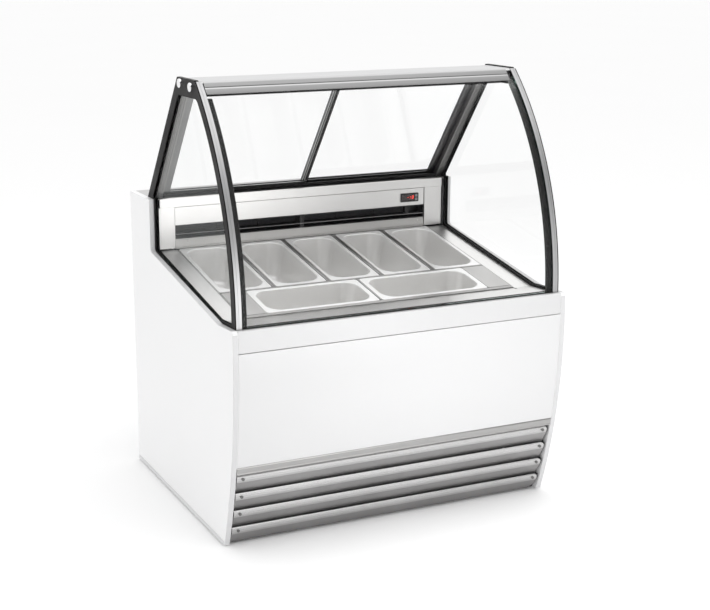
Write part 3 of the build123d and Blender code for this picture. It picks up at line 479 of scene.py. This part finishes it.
for side, sx in (("left", -1), ("right", 1)):
    a, b_ = sorted((sx * 518.0, sx * 532.0))
    band("edge_band_front_" + side, arc_path(on_front, 1700.7, 6, 646), arc_path(on_front, 1700.05, 6, 646), a, b_, "edge_grey",
         bevel=0.0003)
    path_o = [(189.7, 905.0), (189.7, 757.5), (192.6, 749.0), (200.2, 744.0), (768.1, 650.75), (862, 656.0)]
    path_i = [(189.05, 905.0), (189.05, 757.0), (192.2, 748.3), (200.0, 743.3), (768.0, 650.05), (862, 655.35)]
    band("edge_band_step_" + side, path_o, path_i, a, b_, "edge_grey", bevel=0.0003)
    # narrow foot rail along the bottom of the panel
    o = sorted((sx * 533.0, sx * 534.2))
    strip("foot_rail_" + side, [(2, 4.5), (786, 4.5), (789, 14), (789.5, 17), (2, 17)], o[0], o[1], "edge_grey", bevel=0.0004)

# ------------------------------------------------------------------ controller digits: seven-segment reading
SEG = {"1": "bc", "8": "abcdefg", "-": "g"}


def digit(name, ch, x, z, w, h, t, d):
    parts = []
    segs = {"a": (x, z + h, w, t), "g": (x, z + h / 2, w, t), "d": (x, z, w, t),
            "f": (x, z + h / 2, t, h / 2), "b": (x + w, z + h / 2, t, h / 2),
            "e": (x, z, t, h / 2), "c": (x + w, z, t, h / 2)}
    verts, faces = [], []
    for s in SEG[ch]:
        sx0, sz0, sw, sh = segs[s]
        if s in "agd":
            q = [(sx0 + 0.5, sz0), (sx0 + 1.0, sz0 + t / 2), (sx0 + w - 1.0 + 0.5, sz0 + t / 2), (sx0 + w, sz0),
                 (sx0 + w - 0.5, sz0 - t / 2), (sx0 + 1.0, sz0 - t / 2)]
        else:
            q = [(sx0, sz0 + 0.5), (sx0 + t / 2, sz0 + 1.0), (sx0 + t / 2, sz0 + sh - 1.0), (sx0, sz0 + sh - 0.5),
                 (sx0 - t / 2, sz0 + sh - 1.0), (sx0 - t / 2, sz0 + 1.0)]
        n0 = len(verts)
        m = len(q)
        lean = lambda p: (p[0] + (p[1] - z) * 0.12, p[1])
        q = [lean(p) for p in q]
        verts += [P(px, d, pz) for px, pz in q] + [P(px, d + 0.25, pz) for px, pz in q]
        faces.append(tuple(range(n0, n0 + m)))
        faces.append(tuple(range(n0 + 2 * m - 1, n0 + m - 1, -1)))
        faces += [(n0 + i, n0 + (i + 1) % m, n0 + m + (i + 1) % m, n0 + m + i) for i in range(m)]
    return mesh_obj(name, verts, faces, "red")


digit("reading_sign", "-", 366.0, 842.3, 4.8, 9.4, 1.3, 190.12)
digit("reading_tens", "1", 372.6, 842.3, 4.8, 9.4, 1.3, 190.12)
digit("reading_units", "8", 383.6, 842.3, 6.0, 9.4, 1.4, 190.12)

# ------------------------------------------------------------------ small fixings
pan_head = [(0, 1.5), (1.4, 1.5), (2.6, 1.2), (3.4, 0.5), (3.6, 0.0), (3.6, -0.6)]
for i, (x, d, z, ax) in enumerate(((-408, 186.9, 768.5, (0, -1, 0.18)), (408, 186.9, 768.5, (0, -1, 0.18)))):
    lathe("wall_screw_%d" % (i + 1), pan_head, P(x, d, z), ax, "steel_dark", seg=24)

# light blade that divides the air slot
strip("air_blade", [(166, 790.2), (186.9, 789.9), (187.3, 790.9), (186.9, 792.0), (166, 791.8)], -446.5, 427.8, "alu")

# rear service panel: pan-head screws round the edge
n_scr = 0
for x in (-500, -170, 170, 500):
    for z in (36, 888):
        n_scr += 1
        lathe("service_screw_%d" % n_scr, pan_head, P(x, 1.0, z), (0, 1, 0), "chrome", seg=20)
for x in (-500, 500):
    for z in (320, 600):
        n_scr += 1
        lathe("service_screw_%d" % n_scr, pan_head, P(x, 1.0, z), (0, 1, 0), "chrome", seg=20)


def pipe(name, pts, r, mat, body="cabinet", n=10, sub=8):
    """Bent tube through the points, in millimetres, with smooth corners."""
    P3 = [P(*p) for p in pts]
    path = []
    for i in range(len(P3) - 1):
        p0 = P3[max(i - 1, 0)]
        p1, p2 = P3[i], P3[i + 1]
        p3 = P3[min(i + 2, len(P3) - 1)]
        for k in range(sub):
            t = k / sub
            m1, m2 = (p2 - p0) * 0.35, (p3 - p1) * 0.35
            h = (2 * t ** 3 - 3 * t ** 2 + 1) * p1 + (t ** 3 - 2 * t ** 2 + t) * m1 + (-2 * t ** 3 + 3 * t ** 2) * p2 + (t ** 3 - t ** 2) * m2
            path.append(h)
    path.append(P3[-1])
    verts, faces = [], []
    up = Vector((0.31, 0.22, 0.93)).normalized()
    for i, c in enumerate(path):
        t = (path[min(i + 1, len(path) - 1)] - path[max(i - 1, 0)]).normalized()
        u = t.cross(up).normalized()
        w = t.cross(u).normalized()
        up = -w if (-w).dot(up) > 0 else w
        for k in range(n):
            a = 2 * math.pi * k / n
            verts.append(c + (u * math.cos(a) + w * math.sin(a)) * r / 1000.0)
    for i in range(len(path) - 1):
        for k in range(n):
            k2 = (k + 1) % n
            faces.append((i * n + k, i * n + k2, (i + 1) * n + k2, (i + 1) * n + k))
    faces.append(tuple(range(n)))
    faces.append(tuple(range((len(path) - 1) * n + n - 1, (len(path) - 1) * n - 1, -1)))
    return mesh_obj(name, verts, faces, mat, body, True, 0)


pipe("discharge_line", [(-205, 360, 251), (-205, 350, 300), (-150, 340, 322), (0, 500, 325), (44, 640, 320), (50, 665, 315)], 3.2, "copper")
pipe("suction_line", [(-290, 440, 240), (-300, 460, 300), (-330, 500, 340), (-340, 520, 371)], 4.8, "copper")
pipe("liquid_line", [(440, 665, 112), (452, 650, 130), (452, 560, 200), (440, 500, 330), (430, 480, 371)], 3.2, "copper")

# wire guard in front of the condenser fan
for i, r in enumerate((30, 52, 74, 96, 112)):
    ring = [(240 + r * math.cos(2 * math.pi * k / 36), 556, 215 + r * math.sin(2 * math.pi * k / 36)) for k in range(37)]
    pipe("fan_guard_ring_%d" % (i + 1), ring, 1.0, "black_steel", n=6, sub=1)
for i in range(4):
    a = math.pi / 4 + i * math.pi / 2
    pipe("fan_guard_arm_%d" % (i + 1), [(240 + 30 * math.cos(a), 556, 215 + 30 * math.sin(a)), (240 + 118 * math.cos(a), 556, 215 + 118 * math.sin(a)),
         (240 + 124 * math.cos(a), 580, 215 + 124 * math.sin(a)), (240 + 124 * math.cos(a), 606, 215 + 124 * math.sin(a))], 1.3, "black_steel", n=6, sub=4)



# pulls on the operator's side of the sliding doors: a flush channel on the inner door, a hooked grip on the outer one
def door_strip(name, section, s0, s1, mat, body):
    """Section of (x, offset through the door) points run up the inclined door from s0 to s1, millimetres."""
    n = len(section)
    verts = [P(x, up * 0.6113 - c * 0.7914, c * 0.6113 + up * 0.7914) for up in (s0, s1) for x, c in section]
    faces = [tuple(range(n)), tuple(range(2 * n - 1, n - 1, -1))]
    faces += [(i, (i + 1) % n, n + (i + 1) % n, n + i) for i in range(n)]
    return mesh_obj(name, verts, faces, mat, body, False, 0.0003)


door_strip("door_left_pull", [(-478, 434.1), (-478, 436.4), (-475.4, 436.4), (-474.4, 434.9), (-467.6, 434.9), (-466.6, 436.4), (-464, 436.4), (-464, 434.1)],
           985, 1115, "black_matt", "door_left")
door_strip("door_right_pull", [(464, 448.2), (464, 450.4), (466.4, 450.8), (468.2, 457.4), (470.4, 458.8), (477.0, 458.8), (478, 457.9), (478, 456.2), (477.0, 455.8),
                               (471.6, 455.8), (470.2, 450.8), (478, 450.4), (478, 448.2)],
           985, 1115, "black_matt", "door_right")

# bright bead and dark infill along the inner door's meeting stile, and the infill of the outer one
door_strip("door_left_stile_bead", [(-14.6, 423.9), (-14.6, 423.2), (-12.6, 423.2), (-12.6, 423.9)], 848, 1236, "alu_light", "door_left")
door_strip("door_left_stile_infill", [(-11.6, 423.9), (-11.6, 423.4), (-9.6, 423.4), (-9.6, 423.9)], 848, 1236, "rubber", "door_left")
door_strip("door_left_stile_brush", [(-4.6, 423.9), (-4.6, 423.0), (2.6, 423.0), (2.6, 423.9)], 848, 1236, "rubber", "door_left")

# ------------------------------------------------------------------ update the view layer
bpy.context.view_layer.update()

# ------------------------------------------------------------------ studio
def stage_mat(name, col, rough):
    m, nt, b = new_mat(name)
    v = coords(nt)
    nt.links.new(ramp(nt, noise(nt, v, 0.6, 3), [(0.3, col), (0.7, tuple(min(1, c * 1.005) for c in col))]), b.inputs["Base Color"])
    b.inputs["Roughness"].default_value = rough
    b.inputs["Specular IOR Level"].default_value = 0.1
    return m


floor_me = bpy.data.meshes.new("floor")
s = 140.0
floor_me.from_pydata([(-s, -s, 0), (s, -s, 0), (s, s, 0), (-s, s, 0)], [], [(0, 1, 2, 3)])
floor = bpy.data.objects.new("floor", floor_me)
floor_me.materials.append(stage_mat("floor_pale", (0.975, 0.975, 0.975), 0.9))
bpy.context.scene.collection.objects.link(floor)


def area(name, loc, target, size, power, col=(1, 1, 1), shape="RECTANGLE"):
    l = bpy.data.lights.new(name, "AREA")
    l.energy = power
    l.shape = shape
    l.size, l.size_y = size
    l.color = col
    o = bpy.data.objects.new(name, l)
    o.location = loc
    d = Vector(target) - Vector(loc)
    o.rotation_euler = d.to_track_quat("-Z", "Y").to_euler()
    bpy.context.scene.collection.objects.link(o)
    return o


area("key_top", (0.6, -1.6, 5.0), (0, 0, 0.6), (5.0, 4.0), 50).data.specular_factor = 0.6
area("front_soft", (3.0, -4.2, 1.6), (0.35, -0.3, 0.4), (2.4, 2.0), 5).data.specular_factor = 0.3
area("front_near", (0.12, -1.38, 0.62), (0.12, -0.44, 0.42), (0.8, 0.7), 3.6).data.specular_factor = 0.1

world = bpy.data.worlds.new("studio")
bpy.context.scene.world = world
world.use_nodes = True
wt = world.node_tree
bg = wt.nodes["Background"]


def wmath(op, a, b=0.0, clamp=False):
    m = wt.nodes.new("ShaderNodeMath")
    m.operation = op
    m.use_clamp = clamp
    for k, v in ((0, a), (1, b)):
        if isinstance(v, (int, float)):
            m.inputs[k].default_value = v
        else:
            wt.links.new(v, m.inputs[k])
    return m.outputs[0]


tc = wt.nodes.new("ShaderNodeTexCoord")
sp = wt.nodes.new("ShaderNodeSeparateXYZ")
wt.links.new(tc.outputs["Generated"], sp.inputs[0])
# bright above and behind, a dimmer soft zone low on the customer's side
front = wmath("MULTIPLY", wmath("ADD", sp.outputs[1], 0.15), -1.9, True)
high = wmath("MULTIPLY", wmath("ADD", sp.outputs[2], -0.62), 4.0, True)
rise = wmath("MULTIPLY", sp.outputs[2], 3.6, True)
dim = wmath("MULTIPLY", wmath("MULTIPLY", front, wmath("SUBTRACT", 1.0, high)), rise)
level = wmath("SUBTRACT", 1.12, wmath("MULTIPLY", dim, 0.74))
wt.links.new(level, bg.inputs["Strength"])
bg.inputs["Color"].default_value = (1.0, 1.0, 1.0, 1)

# ------------------------------------------------------------------ camera
R = ((0.91112498, -0.41211303, -0.00375762), (-0.10438374, -0.22193860, -0.96945721), (0.39869199, 0.88368892, -0.24523171))
cam = bpy.data.cameras.new("camera")
cam.sensor_fit = "HORIZONTAL"
cam.sensor_width = 36.0
cam.lens = 1399.290 / 710.0 * 36.0
cam.shift_x = 0.07
cam.clip_end = 500.0
co = bpy.data.objects.new("camera", cam)
mw = Matrix(((R[0][0], -R[1][0], -R[2][0], -1.840236), (R[0][1], -R[1][1], -R[2][1], -3.811580),
             (R[0][2], -R[1][2], -R[2][2], 1.645082), (0, 0, 0, 1)))
co.matrix_world = mw
bpy.context.scene.collection.objects.link(co)
bpy.context.scene.camera = co
bpy.context.scene.view_settings.view_transform = "Standard"
